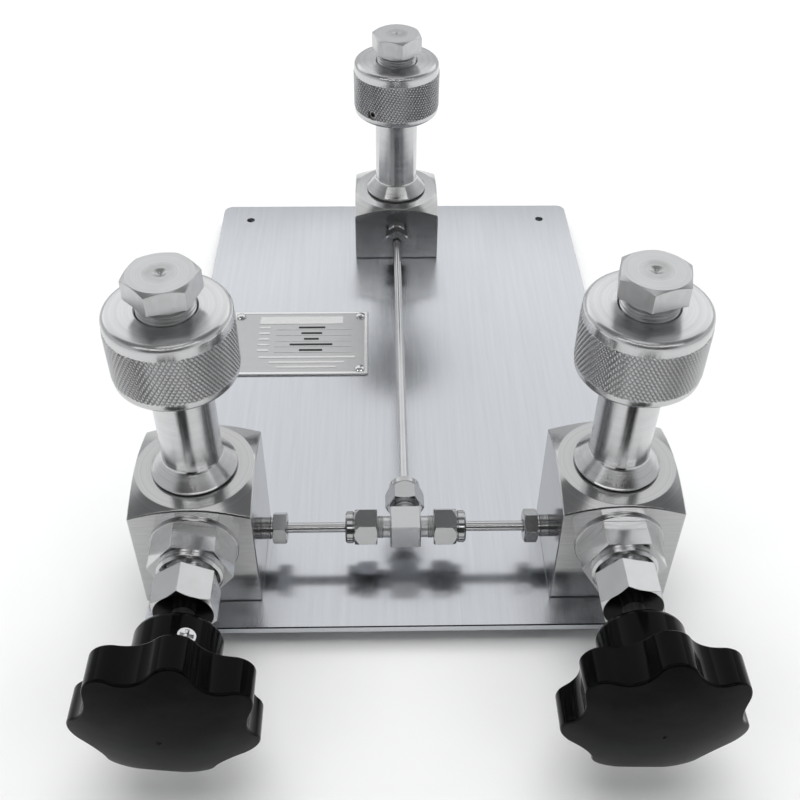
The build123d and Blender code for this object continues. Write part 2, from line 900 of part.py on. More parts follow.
for side, (valve_x, opening) in valve_spots.items():
    valve_plane = outward(valve_x, front_y - opening, valve_z)
    valve_axis = Axis((valve_x, front_y, valve_z), (0, 1, 0))
    with BuildPart() as needle:
        tip_start = chamber_end - 1.04 - 0.6
        tip_radius = orifice_radius - 0.6 * tan(cone_half_angle) - 0.02
        cone_length = (needle_body - tip_radius) / tan(cone_half_angle)
        turned(
            [
                (tip_start, 0),
                (tip_start, tip_radius),
                (tip_start + cone_length, needle_body),
                (socket_mouth - 0.4, needle_body),
                (socket_mouth - 0.4, needle_neck),
                (socket_shelf + 0.1, needle_neck),
                (socket_shelf + 0.1, needle_head),
                (socket_end - 0.1, needle_head),
                (socket_end - 0.1, 0),
            ],
            valve_plane,
            valve_axis,
        )
    save(needle.part, side + "_needle")
    with BuildPart() as stem:
        turned(
            [
                (stem_inner, needle_neck + fit),
                (stem_inner, stem_thread - 0.5),
                (stem_inner + 0.5, stem_thread),
                (stem_outer, stem_thread),
                (stem_outer, stem_radius),
                (stem_tip - 0.5, stem_radius),
                (stem_tip, stem_radius - 0.5),
                (stem_tip, 0),
                (socket_end, 0),
                (socket_end, needle_head + fit),
                (socket_shelf, needle_head + fit),
                (socket_shelf, needle_neck + fit),
            ],
            valve_plane,
            valve_axis,
        )
    save(stem.part, side + "_stem")
    with BuildPart() as bush:
        turned(
            [
                (bush_back, stem_radius),
                (bush_back, bush_radius),
                (bush_front, bush_radius),
                (bush_front, 0),
                (stem_tip, 0),
                (stem_tip, stem_radius),
            ],
            valve_plane,
            valve_axis,
        )
        screw_start = screw_plane(valve_x, opening, side, bush_radius + 1.0)
        bored(screw_start, knob_screw_radius, bush_radius + 1.0 - stem_radius)
    save(bush.part, side + "_knob_bush")
    with BuildPart() as knob_screw:
        screw_head = screw_plane(valve_x, opening, side, hub_radius - 0.3)
        bored(screw_head, knob_screw_radius, hub_radius - 0.3 - stem_radius, Mode.ADD)
        for slot_turn in (0.0, 90.0):
            with BuildSketch(screw_head) as slot:
                Rectangle(1.3, 4.6, rotation=slot_turn)
            extrude(slot.sketch, amount=2.2, mode=Mode.SUBTRACT)
        turned(
            [(0, 0), (stem_tip + 4, 0), (stem_tip + 4, stem_radius), (0, stem_radius)],
            valve_plane,
            valve_axis,
            Mode.SUBTRACT,
        )
    save(knob_screw.part, side + "_knob_screw")
    with BuildPart() as knob:
        with BuildSketch(front_plane(valve_x, front_y - disc_back - opening, valve_z)) as star:
            with BuildLine():
                star_outline(knob_phase + knob_screw_turn[side])
            make_face()
        extrude(star.sketch, amount=dome_front - disc_back)
        with BuildSketch(valve_plane) as dome_section:
            with BuildLine():
                dome_outline()
            make_face()
        revolve(dome_section.sketch, axis=valve_axis, mode=Mode.INTERSECT)
        back_edges = knob.faces().sort_by(Axis.Y)[-1].edges()
        dome_edges = knob.faces().filter_by(GeomType.SPHERE)[0].edges()
        fillet(back_edges + dome_edges, radius=knob_edge_round)
        turned(
            [
                (hub_back, 0),
                (hub_back, hub_radius - 2.0),
                (hub_back + 0.5, hub_radius - 1.0),
                (hub_back + 1.2, hub_radius - 0.4),
                (hub_back + 2.2, hub_radius),
                (disc_back + 1.0, hub_radius),
                (disc_back + 1.0, 0),
            ],
            valve_plane,
            valve_axis,
        )
        turned(
            [
                (hub_back, 0),
                (hub_back, stem_radius + 0.4),
                (bush_back, stem_radius + 0.4),
                (bush_back, bush_radius),
                (bush_front, bush_radius),
                (bush_front, 0),
            ],
            valve_plane,
            valve_axis,
            Mode.SUBTRACT,
        )
        screw_start = screw_plane(valve_x, opening, side, hub_radius + 1.0)
        bored(screw_start, knob_screw_radius, hub_radius + 2.5 - bush_radius)
    save(knob.part, side + "_knob")

# ---------------------------------------------------------------- pressure line: tee, nuts, tubes
tee_y = front_y
ferrule_length = 4.0
ferrule_radius = 3.2
tube_in_tee = 10.0
port_spots = {
    "left": side_plane(-block_x + block_half, front_y, line_z, 1),
    "right": side_plane(block_x - block_half, front_y, line_z, -1),
    "rear": front_plane(0, rear_y - block_half, line_z),
}
tee_spots = {
    "left": side_plane(0, tee_y, line_z, -1),
    "right": side_plane(0, tee_y, line_z, 1),
    "rear": back_plane(0, tee_y, line_z),
}


def along(plane, distance):
    """The same plane moved along its own normal."""
    return plane.offset(distance)


def radial_plane(plane):
    """Plane holding the normal of another plane as its first axis, for turned line fittings."""
    return Plane(origin=plane.origin, x_dir=plane.z_dir, z_dir=Vector(0, 0, 1).cross(plane.z_dir) * -1)


def line_axis(plane):
    """Turning axis of a line fitting."""
    return Axis(plane.origin, plane.z_dir)


branch_pull = {"left": 0.0, "right": 0.0, "rear": 1.6}
nut_turns = {"left": -10.0, "right": 15.0, "rear": 0.0}
collar_cone = radians(60.0)

with BuildPart() as tee_body:
    with BuildSketch(flat_plane(0, tee_y, line_z - fitting_half)) as outline:
        Rectangle(2 * fitting_half, 2 * fitting_half)
    extrude(outline.sketch, amount=2 * fitting_half)
    chamfer(tee_body.edges(), length=0.5)
    for branch_name, branch in tee_spots.items():
        reach = tee_reach - branch_pull[branch_name]
        shank = ridges(tee_thread, 0.45, tee_neck_end, reach, 1.0)
        turned(
            [(fitting_half - 1.0, 0), (fitting_half - 1.0, tee_neck), (tee_neck_end, tee_neck)]
            + shank
            + [(reach - 0.5, 0)],
            radial_plane(branch),
            line_axis(branch),
        )
    for branch_name, branch in tee_spots.items():
        reach = tee_reach - branch_pull[branch_name]
        bored(branch, tube_bore, reach + 1.0)
        bored(along(branch, tube_in_tee), tube_radius, reach - tube_in_tee + 1.0)
save(tee_body.part, "tee_body")


def cut_corners(plane, flat, corner, face_at, fall):
    """Turn the corners of a hexagon down to its flats, over a length that is signed."""
    turned(
        [(face_at, flat), (face_at, corner), (face_at + fall, corner)],
        radial_plane(plane),
        line_axis(plane),
        Mode.SUBTRACT,
    )


with BuildPart() as tee_nuts:
    for branch_name, branch in tee_spots.items():
        pulled = along(branch, -branch_pull[branch_name])
        hex_end = nut_end - collar_length
        hexagon(along(pulled, nut_face), tee_hex, hex_end - nut_face, nut_turns[branch_name])
        turned(
            [
                (hex_end - 0.01, 0),
                (hex_end - 0.01, collar_radius - 0.4),
                (hex_end + 0.4, collar_radius - 0.4),
                (hex_end + 0.7, collar_radius),
                (nut_end - 0.6, collar_radius),
                (nut_end, collar_radius - 0.6),
                (nut_end, 0),
            ],
            radial_plane(pulled),
            line_axis(pulled),
        )
        tee_flat = tee_hex / 2
        tee_corner = tee_hex / sqrt(3) + 1.0
        tee_cut = tee_corner - tee_flat
        cut_corners(pulled, tee_flat, tee_corner, nut_face, tee_cut * tan(hex_chamfer))
        cut_corners(pulled, tee_flat, tee_corner, hex_end, -tee_cut * tan(collar_cone))
        turned(
            [
                (nut_face - 0.1, 0),
                (nut_face - 0.1, tee_thread),
                (tee_reach, tee_thread),
                (tee_reach + ferrule_length, tube_radius),
                (nut_end + 0.1, tube_radius),
                (nut_end + 0.1, 0),
            ],
            radial_plane(pulled),
            line_axis(pulled),
            Mode.SUBTRACT,
        )
save(tee_nuts.part, "tee_nuts")

with BuildPart() as tee_ferrules:
    for branch_name, branch in tee_spots.items():
        pulled = along(branch, -branch_pull[branch_name])
        turned(
            [
                (tee_reach, tube_radius),
                (tee_reach, ferrule_radius),
                (tee_reach + 1.6, ferrule_radius - 0.2),
                (tee_reach + 2.6, tube_radius),
            ],
            radial_plane(pulled),
            line_axis(pulled),
        )
save(tee_ferrules.part, "tee_ferrules")

tube_ends = {
    "left": block_x - block_half + gland_depth,
    "right": block_x - block_half + gland_depth,
    "rear": rear_y - tee_y - block_half + gland_depth,
}
for branch_name, branch in tee_spots.items():
    with BuildPart() as tube:
        bored(along(branch, tube_in_tee), tube_radius, tube_ends[branch_name] - tube_in_tee, Mode.ADD)
        bored(along(branch, tube_in_tee), tube_bore, tube_ends[branch_name] - tube_in_tee)
    save(tube.part, branch_name + "_tube")

gland_turns = {"left": 18.0, "right": 26.0, "rear": 30.0}
with BuildPart() as gland_nuts:
    for port_name, port in port_spots.items():
        shank = ridges(gland_thread, 0.4, -gland_depth + 2.4, gland_stub - 0.4, 1.0)
        turned(
            [(-gland_depth + 2.4, 0)]
            + shank
            + [(gland_stub + 0.5, gland_thread - 0.6), (gland_stub + 0.5, 0)],
            radial_plane(port),
            line_axis(port),
        )
        hexagon(along(port, gland_stub), gland_hex, gland_hex_length, gland_turns[port_name])
        gland_flat = gland_hex / 2
        gland_corner = gland_hex / sqrt(3) + 1.0
        gland_fall = (gland_corner - gland_flat) * tan(hex_chamfer)
        gland_end = gland_stub + gland_hex_length
        cut_corners(port, gland_flat, gland_corner, gland_stub, gland_fall)
        cut_corners(port, gland_flat, gland_corner, gland_end, -gland_fall)
        bored(along(port, -gland_depth), tube_radius, gland_depth + gland_end + 1.0)
        bored(along(port, gland_end - 1.2), gland_mouth, 2.0)
save(gland_nuts.part, "gland_nuts")

with BuildPart() as gland_ferrules:
    for port in port_spots.values():
        turned(
            [
                (-gland_depth + 2.4, tube_radius),
                (-gland_depth + 2.4, ferrule_radius),
                (-gland_depth + 0.4, tube_radius),
            ],
            radial_plane(port),
            line_axis(port),
        )
save(gland_ferrules.part, "gland_ferrules")

print(len(parts_made), "sub-parts written")
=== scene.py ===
"""Looks of the three-port calibration stand: detailed pieces, materials, lights and camera."""

import math

import bmesh
import bpy
from mathutils import Matrix, Vector


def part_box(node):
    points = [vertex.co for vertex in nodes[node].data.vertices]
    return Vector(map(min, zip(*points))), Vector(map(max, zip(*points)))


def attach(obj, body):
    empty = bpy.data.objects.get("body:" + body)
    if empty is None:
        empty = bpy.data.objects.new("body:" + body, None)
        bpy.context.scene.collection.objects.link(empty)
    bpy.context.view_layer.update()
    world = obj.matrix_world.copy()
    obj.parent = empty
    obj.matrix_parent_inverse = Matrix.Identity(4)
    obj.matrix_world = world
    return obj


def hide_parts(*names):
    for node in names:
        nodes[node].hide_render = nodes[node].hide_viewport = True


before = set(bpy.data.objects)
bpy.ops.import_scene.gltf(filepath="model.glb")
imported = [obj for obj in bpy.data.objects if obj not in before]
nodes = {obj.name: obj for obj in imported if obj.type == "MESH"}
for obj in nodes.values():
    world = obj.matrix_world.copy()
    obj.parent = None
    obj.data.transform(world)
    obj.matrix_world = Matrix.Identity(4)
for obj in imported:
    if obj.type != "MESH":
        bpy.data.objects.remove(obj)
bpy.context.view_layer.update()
scene = bpy.context.scene
MM = 0.001

# ---------------------------------------------------------------- places, worked out from the CAD nodes
STATIONS = ("left", "right", "rear")
SIDES = ("left", "right")


def middle(name):
    """Centre of a CAD node's box."""
    low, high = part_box(name)
    return (low + high) / 2


post_axis = {station: middle(station + "_post") for station in STATIONS}
valve_axis = {side: middle(side + "_stem") for side in SIDES}


# hand nut sizes in millimetres, heights from the foot of the nut; KNURL_FLAT is the share of a
# diamond's side that its flat tip takes, and KNURL_SPARE is what the knurl is cut down by at each
# end; the starts count the grooves of each hand round the nut, and the leads are the grooves that
# are passed per millimetre of height
KNURL_TIP = 22.0
KNURL_DEPTH = 0.45
KNURL_FLAT = 0.24
KNURL_SPARE = 2
RIGHT_STARTS = 95
LEFT_STARTS = 77
RIGHT_LEAD = 0.43
LEFT_LEAD = 0.34
NUT_BAND = 21.65
NUT_FOOT_ROUND = 1.8
NUT_RIM_ROUND = 2.4
KNURL_FOOT = 3.65
KNURL_HEAD = 5.55
NUT_BORE = 11.05
NUT_THREAD = 10.05
NUT_MOUTH = 10.7
NUT_SHELF = 12.5
NUT_HEIGHT = 27.5
NUT_SCREW_RADIUS = 2.5
NUT_SCREW_SPAN_DEGREES = 50
ROUND_STEPS = 256


# ---------------------------------------------------------------- mesh helpers
def add_object(name, mesh, body, material, smooth_angle=None):
    """Link a finished mesh as a piece that rides on a body."""
    piece = bpy.data.objects.new(name, mesh)
    scene.collection.objects.link(piece)
    mesh.materials.clear()
    mesh.materials.append(material)
    if smooth_angle is not None:
        soften(piece, smooth_angle)
    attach(piece, body)
    return piece


def soften(piece, angle):
    """Smooth shading, with edges sharper than the angle kept crisp."""
    mesh = piece.data
    mesh.polygons.foreach_set("use_smooth", [True] * len(mesh.polygons))
    mesh.set_sharp_from_angle(angle=math.radians(angle))


def mesh_from(bm, name):
    """Turn a bmesh into a mesh with outward normals."""
    bmesh.ops.recalc_face_normals(bm, faces=bm.faces)
    mesh = bpy.data.meshes.new(name)
    bm.to_mesh(mesh)
    bm.free()
    return mesh


def ring(bm, radius, height, count):
    """Circle of vertices round the local Z axis."""
    made = []
    for index in range(count):
        angle = 2 * math.pi * index / count
        made.append(bm.verts.new((radius * math.cos(angle), radius * math.sin(angle), height)))
    return made


def skin(bm, first, second):
    """Quads between two loops with the same number of vertices."""
    count = len(first)
    for index in range(count):
        after = (index + 1) % count
        bm.faces.new((first[index], first[after], second[after], second[index]))


def zip_loops(bm, first, second):
    """Triangles between two loops round the Z axis that have different numbers of vertices."""

    def turn(vertex):
        return math.atan2(vertex.co.y, vertex.co.x) % (2 * math.pi)

    one = sorted(first, key=turn)
    two = sorted(second, key=turn)
    one_turns = [turn(v) for v in one] + [turn(one[0]) + 2 * math.pi]
    two_turns = [turn(v) for v in two] + [turn(two[0]) + 2 * math.pi]
    i = 0
    j = 0
    while i < len(one) or j < len(two):
        step_one = j >= len(two) or (i < len(one) and one_turns[i + 1] <= two_turns[j + 1])
        here_one = one[i % len(one)]
        here_two = two[j % len(two)]
        if step_one:
            bm.faces.new((here_one, one[(i + 1) % len(one)], here_two))
            i += 1
        else:
            bm.faces.new((here_one, two[(j + 1) % len(two)], here_two))
            j += 1


def arc(centre_r, centre_z, radius, start, end, steps):
    """Points (radius, height) along an arc, angles in degrees."""
    points = []
    for index in range(steps + 1):
        angle = math.radians(start + (end - start) * index / steps)
        points.append((centre_r + radius * math.cos(angle), centre_z + radius * math.sin(angle)))
    return points


def placed(mesh, matrix):
    """Move mesh data into the shared frame."""
    mesh.transform(matrix)
    mesh.update()
    return mesh


def drilled(mesh, drills):
    """Cut cylinders (start, direction, radius, length) out of a mesh with an exact boolean."""
    target = bpy.data.objects.new("drill_target", mesh)
    scene.collection.objects.link(target)
    cutters = []
    for index, (start, direction, radius, length) in enumerate(drills):
        bm = bmesh.new()
        bmesh.ops.create_cone(
            bm, cap_ends=True, segments=48, radius1=radius, radius2=radius, depth=length
        )
        turn = direction.to_track_quat("Z", "Y").to_matrix().to_4x4()
        shift = Matrix.Translation(start + direction * (length / 2))
        bmesh.ops.transform(bm, matrix=shift @ turn, verts=bm.verts)
        cutter = bpy.data.objects.new("drill_" + str(index), mesh_from(bm, "drill"))
        scene.collection.objects.link(cutter)
        cutters.append(cutter)
        cut = target.modifiers.new("cut", "BOOLEAN")
        cut.object = cutter
        cut.operation = "DIFFERENCE"
        cut.solver = "EXACT"
    bpy.context.view_layer.update()
    graph = bpy.context.evaluated_depsgraph_get()
    result = bpy.data.meshes.new_from_object(target.evaluated_get(graph))
    result.name = mesh.name + "_drilled"
    for made in cutters + [target]:
        bpy.data.objects.remove(made)
    return result


# ---------------------------------------------------------------- material helpers
class Shader:
    """A node material under construction, with short ways to add and join nodes."""

    def __init__(self, name):
        self.material = bpy.data.materials.new(name)
        self.material.use_nodes = True
        self.tree = self.material.node_tree
        self.tree.nodes.clear()
        self.output = self.add("ShaderNodeOutputMaterial")
        self.surface = self.add("ShaderNodeBsdfPrincipled")
        self.tree.links.new(self.surface.outputs["BSDF"], self.output.inputs["Surface"])
        self.place = self.add("ShaderNodeTexCoord").outputs["Object"]

    def add(self, kind):
        return self.tree.nodes.new(kind)

    def put(self, value, socket):
        """Join a socket, or set a plain value."""
        if isinstance(value, bpy.types.NodeSocket):
            self.tree.links.new(value, socket)
        else:
            socket.default_value = value

    def set(self, **values):
        """Set the shader's own sockets: metallic=1.0, base_color=(r, g, b, 1)."""
        for key, value in values.items():
            self.put(value, self.surface.inputs[key.replace("_", " ").title().replace("Ior", "IOR")])

    def math(self, operation, first, second=0.0, clamp=False):
        node = self.add("ShaderNodeMath")
        node.operation = operation
        node.use_clamp = clamp
        self.put(first, node.inputs[0])
        self.put(second, node.inputs[1])
        return node.outputs[0]

    def vector(self, operation, first, second=(0.0, 0.0, 0.0)):
        node = self.add("ShaderNodeVectorMath")
        node.operation = operation
        self.put(first, node.inputs[0])
        self.put(second, node.inputs[1])
        return node.outputs["Value"] if operation in ("LENGTH", "DOT_PRODUCT") else node.outputs["Vector"]

    def split(self, vector):
        node = self.add("ShaderNodeSeparateXYZ")
        self.put(vector, node.inputs[0])
        return node.outputs

    def join(self, x, y, z):
        node = self.add("ShaderNodeCombineXYZ")
        self.put(x, node.inputs[0])
        self.put(y, node.inputs[1])
        self.put(z, node.inputs[2])
        return node.outputs[0]

    def noise(self, place, scale, detail=2.0, rough=0.5, stretch=(1.0, 1.0, 1.0)):
        """Noise of that many features per metre, each axis stretched by its own factor."""
        scaled = self.vector("MULTIPLY", place, tuple(scale * s for s in stretch))
        node = self.add("ShaderNodeTexNoise")
        node.inputs["Scale"].default_value = 1.0
        node.inputs["Detail"].default_value = detail
        node.inputs["Roughness"].default_value = rough
        self.put(scaled, node.inputs["Vector"])
        return node.outputs["Fac"]

    def spread(self, value, low, high, to_low, to_high):
        """Map a value from one range to another, clamped."""
        node = self.add("ShaderNodeMapRange")
        self.put(value, node.inputs["Value"])
        node.inputs["From Min"].default_value = low
        node.inputs["From Max"].default_value = high
        node.inputs["To Min"].default_value = to_low
        node.inputs["To Max"].default_value = to_high
        return node.outputs["Result"]

    def blend(self, share, first, second):
        """Mix two colours."""
        node = self.add("ShaderNodeMix")
        node.data_type = "RGBA"
        self.put(share, node.inputs["Factor"])
        self.put(first, node.inputs[6])
        self.put(second, node.inputs[7])
        return node.outputs[2]

    def bump(self, height, strength, distance, normal=None):
        node = self.add("ShaderNodeBump")
        node.inputs["Strength"].default_value = strength
        node.inputs["Distance"].default_value = distance
        self.put(height, node.inputs["Height"])
        if normal is not None:
            self.put(normal, node.inputs["Normal"])
        return node.outputs["Normal"]

    def bevel(self, radius):
        node = self.add("ShaderNodeBevel")
        node.samples = 4
        node.inputs["Radius"].default_value = radius
        return node.outputs["Normal"]

    def facing(self):
        """Normal in the piece's own space, which turns with the piece."""
        return self.split(self.add("ShaderNodeTexCoord").outputs["Normal"])

    def lathe_place(self, centre, axis):
        """(radius, distance along the axis, 0) of the point, for marks left by turning."""
        offset = self.split(self.vector("SUBTRACT", self.place, tuple(centre)))
        if axis == "Z":
            across, along = (offset[0], offset[1]), offset[2]
        else:
            across, along = (offset[0], offset[2]), offset[1]
        radius = self.math("SQRT", self.math("ADD", self.math("MULTIPLY", across[0], across[0]),
                                             self.math("MULTIPLY", across[1], across[1])))
        return self.join(radius, along, 0.0)

    def ring_marks(self, axis):
        """Stretch the gloss round an axis, as turning marks do."""
        tangent = self.add("ShaderNodeTangent")
        tangent.direction_type = "RADIAL"
        tangent.axis = axis
        self.set(anisotropic_rotation=0.25)
        self.put(tangent.outputs["Tangent"], self.surface.inputs["Tangent"])


def grey(value, blue=0.0):
    """Neutral colour, a little cooler where blue is above 0."""
    return (value * (1 - blue), value * (1 - blue * 0.3), value * (1 + blue), 1.0)


# ---------------------------------------------------------------- materials
def plate_steel():
    """Satin stainless sheet, brushed front to back, with faint smudges."""
    s = Shader("plate_steel")
    grain = s.noise(s.place, 1.0, 3.0, 0.6, (2600.0, 45.0, 2600.0))
    broad = s.noise(s.place, 1.0, 2.0, 0.5, (600.0, 16.0, 600.0))
    smudge = s.noise(s.place, 14.0, 3.0, 0.55)
    tone = s.math("ADD", s.math("MULTIPLY", grain, 0.5), s.math("MULTIPLY", broad, 0.5))
    colour = s.blend(s.spread(tone, 0.3, 0.7, 0.0, 1.0), grey(0.62, 0.03), grey(0.67, 0.035))
    rough = s.math("ADD", s.spread(smudge, 0.3, 0.7, 0.18, 0.24), s.spread(grain, 0.3, 0.7, -0.02, 0.02))
    s.set(base_color=colour, metallic=1.0, roughness=rough, anisotropic=0.75)
    s.put(s.join(1.0, 0.0, 0.0), s.surface.inputs["Tangent"])
    s.put(s.bump(tone, 0.12, 0.00003), s.surface.inputs["Normal"])
    return s.material


def block_steel(name, centre):
    """Milled square block: linear marks on the sides, turned marks on the crown."""
    s = Shader(name)
    lathe = s.lathe_place(centre, "Z")
    rings = s.noise(lathe, 1.0, 3.0, 0.6, (2200.0, 300.0, 1.0))
    lines = s.noise(s.place, 1.0, 3.0, 0.6, (90.0, 90.0, 2400.0))
    upward = s.facing()[2]
    on_top = s.spread(upward, 0.5, 0.6, 0.0, 1.0)
    marks = s.math("ADD", s.math("MULTIPLY", rings, on_top),
                   s.math("MULTIPLY", lines, s.math("SUBTRACT", 1.0, on_top)))
    smudge = s.noise(s.place, 40.0, 3.0, 0.6)
    colour = s.blend(s.spread(marks, 0.3, 0.7, 0.0, 1.0), grey(0.50, 0.0), grey(0.60, 0.005))
    s.set(base_color=colour, metallic=1.0, roughness=s.spread(smudge, 0.3, 0.7, 0.12, 0.18))
    s.put(s.bump(marks, 0.25, 0.00003, s.bevel(0.0004)), s.surface.inputs["Normal"])
    return s.material


def turned_steel(name, centre, axis, tone, rough):
    """Bright turned steel with fine rings round its axis."""
    s = Shader(name)
    lathe = s.lathe_place(centre, axis)
    fine = s.noise(lathe, 1500.0, 3.0, 0.6)
    broad = s.noise(lathe, 300.0, 2.0, 0.5)
    patch = s.noise(s.place, 70.0, 3.0, 0.6)
    colour = s.blend(s.spread(fine, 0.3, 0.7, 0.0, 1.0), grey(tone * 0.9), grey(tone * 1.05, 0.01))
    roughness = s.math("ADD", s.spread(patch, 0.3, 0.7, rough * 0.85, rough * 1.2),
                       s.spread(broad, 0.3, 0.7, -0.03, 0.03))
    s.set(base_color=colour, metallic=1.0, roughness=roughness, anisotropic=0.8)
    s.ring_marks(axis)
    s.put(s.bump(fine, 0.12, 0.00002, s.bevel(0.00025)), s.surface.inputs["Normal"])
    return s.material


def knurled_steel(name, centre, knurl_low, knurl_high):
    """Turned steel of a hand nut, with painted shade darkening the grooves of its knurled band, so the
    tips stay bright.
    """
    s = Shader(name)
    lathe = s.lathe_place(centre, "Z")
    fine = s.noise(lathe, 1500.0, 3.0, 0.6)
    patch = s.noise(s.place, 70.0, 3.0, 0.6)
    radius, along = s.split(lathe)[0], s.split(lathe)[1]
    above = s.spread(along, knurl_low - centre.z, knurl_low - centre.z + 0.00005, 0.0, 1.0)
    below = s.spread(along, knurl_high - centre.z - 0.00005, knurl_high - centre.z, 1.0, 0.0)
    groove_floor = (KNURL_TIP - KNURL_DEPTH + 0.03) * MM
    tip_edge = (KNURL_TIP - 0.1) * MM
    # painted shade in the knurl grooves: the colour darkens the deeper the surface lies below the tips
    depth = s.spread(radius, groove_floor, tip_edge, 0.45, 0.0)
    painted_groove_shade = s.math("MULTIPLY", s.math("MULTIPLY", above, below), depth)
    clean = s.blend(s.spread(fine, 0.3, 0.7, 0.0, 1.0), grey(0.61), grey(0.68, 0.01))
    s.set(base_color=s.blend(painted_groove_shade, clean, grey(0.18)), metallic=1.0,
          roughness=s.spread(patch, 0.3, 0.7, 0.2, 0.27), anisotropic=0.8)
    s.ring_marks("Z")
    s.put(s.bump(fine, 0.12, 0.00002, s.bevel(0.0001)), s.surface.inputs["Normal"])
    return s.material


def satin_steel(name, tone, rough, painted_hub_shade_tone=None):
    """Plain machined steel with a soft satin finish; its end facing the front may get painted shade and a
    painted reflection of the black hub.
    """
    s = Shader(name)
    patch = s.noise(s.place, 160.0, 3.0, 0.5)
    fine = s.noise(s.place, 2500.0, 2.0, 0.5)
    colour = s.blend(s.spread(patch, 0.3, 0.7, 0.0, 1.0), grey(tone * 0.96), grey(tone * 1.02, 0.01))
    if painted_hub_shade_tone is not None:
        # painted shade and painted reflection of the black knob hub: the end facing the front turns flat
        # dark grey
        colour = s.blend(s.spread(s.facing()[1], -0.97, -0.9, 1.0, 0.0), colour, grey(painted_hub_shade_tone))
    s.set(base_color=colour, metallic=1.0, roughness=s.spread(patch, 0.3, 0.7, rough * 0.94, rough * 1.06))
    s.put(s.bump(fine, 0.05, 0.00001, s.bevel(0.0003)), s.surface.inputs["Normal"])
    return s.material


def plug_steel(name, centre):
    """Satin plug with faint turned rings, darker round the centre dimple."""
    s = Shader(name)
    lathe = s.lathe_place(centre, "Z")
    rings = s.noise(lathe, 1.0, 2.0, 0.5, (1600.0, 200.0, 1.0))
    patch = s.noise(s.place, 140.0, 3.0, 0.55)
    radius = s.split(lathe)[0]
    upward = s.spread(s.facing()[2], 0.9, 0.95, 0.0, 1.0)
    near = s.spread(radius, 0.0042, 0.0062, 1.0, 0.0)
    # the top face is made darker, in patches, round the centre dimple
    centre_darkening = s.math("MULTIPLY", s.math("MULTIPLY", near, upward), s.spread(patch, 0.3, 0.7, 0.25, 0.6))
    clean = s.blend(s.spread(rings, 0.3, 0.7, 0.0, 1.0), grey(0.58), grey(0.64, 0.01))
    s.set(base_color=s.blend(centre_darkening, clean, grey(0.38, -0.01)), metallic=1.0,
          roughness=s.spread(patch, 0.3, 0.7, 0.3, 0.37))
    s.put(s.bump(rings, 0.2, 0.00002, s.bevel(0.0003)), s.surface.inputs["Normal"])
    return s.material


def printed(name, tone, metallic=0.0, rough=0.5):
    """Flat ink or bare raised metal on the nameplate."""
    s = Shader(name)
    grain = s.noise(s.place, 3000.0, 2.0, 0.5)
    s.set(base_color=s.blend(grain, grey(tone * 0.92), grey(tone)), metallic=metallic, roughness=rough)
    return s.material


def black_phenolic(name):
    """Black moulded phenolic: glossy sides, duller and mottled on the front, with a painted floor
    reflection on its lower part.
    """
    s = Shader(name)
    mottle = s.noise(s.place, 90.0, 4.0, 0.6)
    peel = s.noise(s.place, 700.0, 2.0, 0.5)
    front = s.spread(s.facing()[1], -0.95, -0.7, 1.0, 0.0)
    shine = s.math("ADD", 0.12, s.math("MULTIPLY", front, 0.26))
    rough = s.math("ADD", shine, s.math("MULTIPLY", s.math("SUBTRACT", mottle, 0.5), 0.14))
    # painted reflection of the floor: the front is lightened, mottled, where it faces downward
    under = s.math("MULTIPLY", s.spread(s.facing()[2], -0.36, -0.02, 1.0, 0.0), front)
    # lighter patches scattered at random over the front
    pale_patches = s.noise(s.place, 45.0, 4.0, 0.62, (1.0, 1.0, 1.6))
    patchy = s.math("MULTIPLY", front, s.spread(pale_patches, 0.42, 0.72, 0.0, 0.35))
    # the pale patches and the painted floor reflection, added together
    patches_and_floor_reflection = s.math("ADD", patchy, s.math("MULTIPLY", under, s.spread(mottle, 0.3, 0.7, 0.5, 1.0)))
    colour = s.blend(s.math("MINIMUM", patches_and_floor_reflection, 1.0), grey(0.0025, 0.05), grey(0.03, 0.05))
    s.set(base_color=colour, roughness=rough, specular_ior_level=0.15)
    s.put(s.bump(peel, 0.08, 0.00005), s.surface.inputs["Normal"])
    return s.material


def soft_plain(name, colour, rough, metallic=0.0):
    """Small rubber, plastic or brass pieces with a fine grain."""
    s = Shader(name)
    grain = s.noise(s.place, 900.0, 3.0, 0.6)
    dark = tuple(c * 0.85 for c in colour[:3]) + (1.0,)
    s.set(base_color=s.blend(grain, dark, colour), metallic=metallic,
          roughness=s.spread(grain, 0.3, 0.7, rough * 0.9, rough * 1.1))
    s.put(s.bump(grain, 0.2, 0.00005), s.surface.inputs["Normal"])
    return s.material


def floor_paint():
    """Pale matt floor."""
    s = Shader("pale_floor")
    grain = s.noise(s.place, 20.0, 2.0, 0.5)
    s.set(base_color=s.blend(grain, grey(0.86), grey(0.88)), roughness=0.9)
    return s.material


# ---------------------------------------------------------------- CAD nodes: finishes
def paint(names, material):
    """Give CAD nodes their material."""
    for name in names:
        node = nodes[name]
        node.data.materials.clear()
        node.data.materials.append(material)


